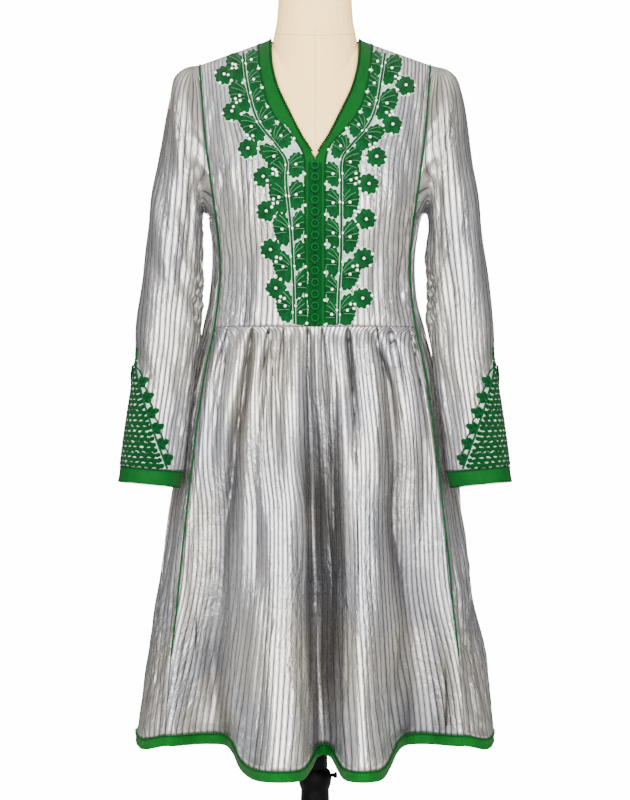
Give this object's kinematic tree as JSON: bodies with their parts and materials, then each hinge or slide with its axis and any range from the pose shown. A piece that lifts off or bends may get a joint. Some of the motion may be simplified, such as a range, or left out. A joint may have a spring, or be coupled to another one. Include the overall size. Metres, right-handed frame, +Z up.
{
  "type": "tunic dress on a limbless dress form with its stand",
  "caption": "Long-sleeved tunic dress with a V neck, a pleated skirt and braid trims, worn by a limbless dress form on a turned stand.",
  "frame": {"origin": "on the floor at the middle of the base's underside, under the pole", "axes": "+Z up along the pole, the dress's front faces -Y, +X to the right when looking at the front"},
  "size_m": [0.5416, 0.38, 1.5313],
  "materials": {
    "striped_cloth": "satin",
    "green_braid": "satin",
    "embroidery": "satin",
    "knot_button": "satin",
    "linen": "matte",
    "black_wood": "satin",
    "black_metal": "satin"
  },
  "bodies": {
    "stand": {"stand_base": "black_wood", "stand_column": "black_wood", "stand_screw": "black_metal"},
    "pole": {"stand_pole": "black_wood"},
    "dressed_form": {"form_torso": "linen", "form_neck_cap": "black_wood", "bodice_front_right": "striped_cloth", "bodice_front_left": "striped_cloth", "bodice_back": "striped_cloth", "neck_braid_right": "green_braid", "neck_braid_left": "green_braid", "neck_braid_back": "green_braid", "yoke_embroidery_right": "embroidery", "yoke_embroidery_left": "embroidery", "side_panel_right": "striped_cloth", "side_panel_left": "striped_cloth", "skirt_front": "striped_cloth", "skirt_back": "striped_cloth", "hem_braid": "green_braid", "sleeve_right": "striped_cloth", "sleeve_left": "striped_cloth", "cuff_braid_right": "green_braid", "cuff_braid_left": "green_braid", "gusset_embroidery_right": "embroidery", "gusset_embroidery_left": "embroidery", "piping_front_right": "green_braid", "piping_front_left": "green_braid", "piping_back_right": "green_braid", "piping_back_left": "green_braid", "button_01": "knot_button", "button_02": "knot_button", "button_03": "knot_button", "button_04": "knot_button", "button_05": "knot_button", "button_06": "knot_button", "button_07": "knot_button", "button_08": "knot_button", "button_09": "knot_button", "button_10": "knot_button", "button_11": "knot_button", "button_12": "knot_button", "button_13": "knot_button", "button_14": "knot_button"}
  },
  "joints": [
    {"name": "height", "type": "slide", "parent": "stand", "child": "pole", "axis": [0, 0, 1], "range_m": [-0.1, 0.12]},
    {"name": "turn", "type": "hinge", "parent": "pole", "child": "dressed_form", "pos_m": [0, 0, 0.8], "axis": [0, 0, 1], "continuous": true}
  ]
}
